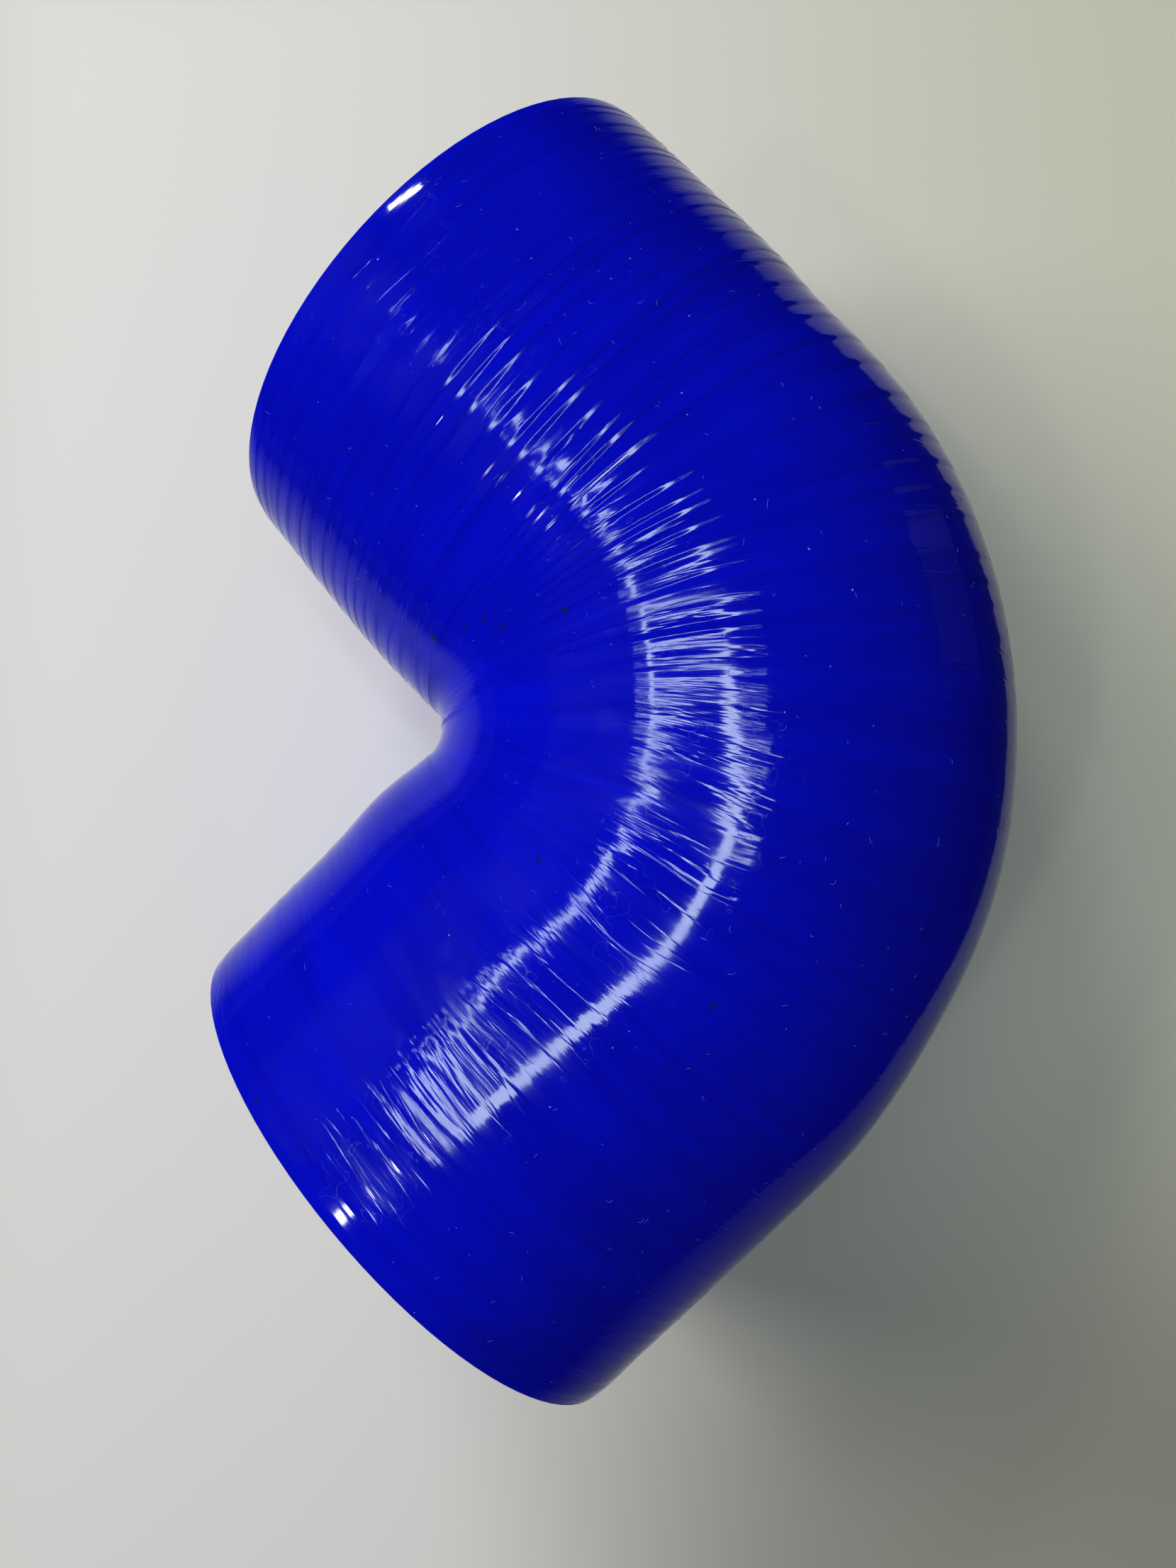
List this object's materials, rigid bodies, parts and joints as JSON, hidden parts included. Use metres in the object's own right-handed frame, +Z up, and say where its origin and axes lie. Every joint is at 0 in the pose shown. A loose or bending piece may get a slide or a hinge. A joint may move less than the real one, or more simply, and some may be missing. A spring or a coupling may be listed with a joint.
{
  "type": "charge air hose",
  "caption": "Moulded silicone elbow hose that turns charge air through a right angle between two pipes of equal bore.",
  "frame": {"origin": "middle of the footprint, on the surface that the hose lies on", "axes": "+Z up from that surface; leg A runs along +X from the bend to its cut end and leg B along +Y"},
  "size_m": [0.174, 0.1768, 0.1126],
  "materials": {
    "silicone": "gloss"
  },
  "bodies": {
    "root": {"elbow_hose": "silicone"}
  },
  "joints": []
}
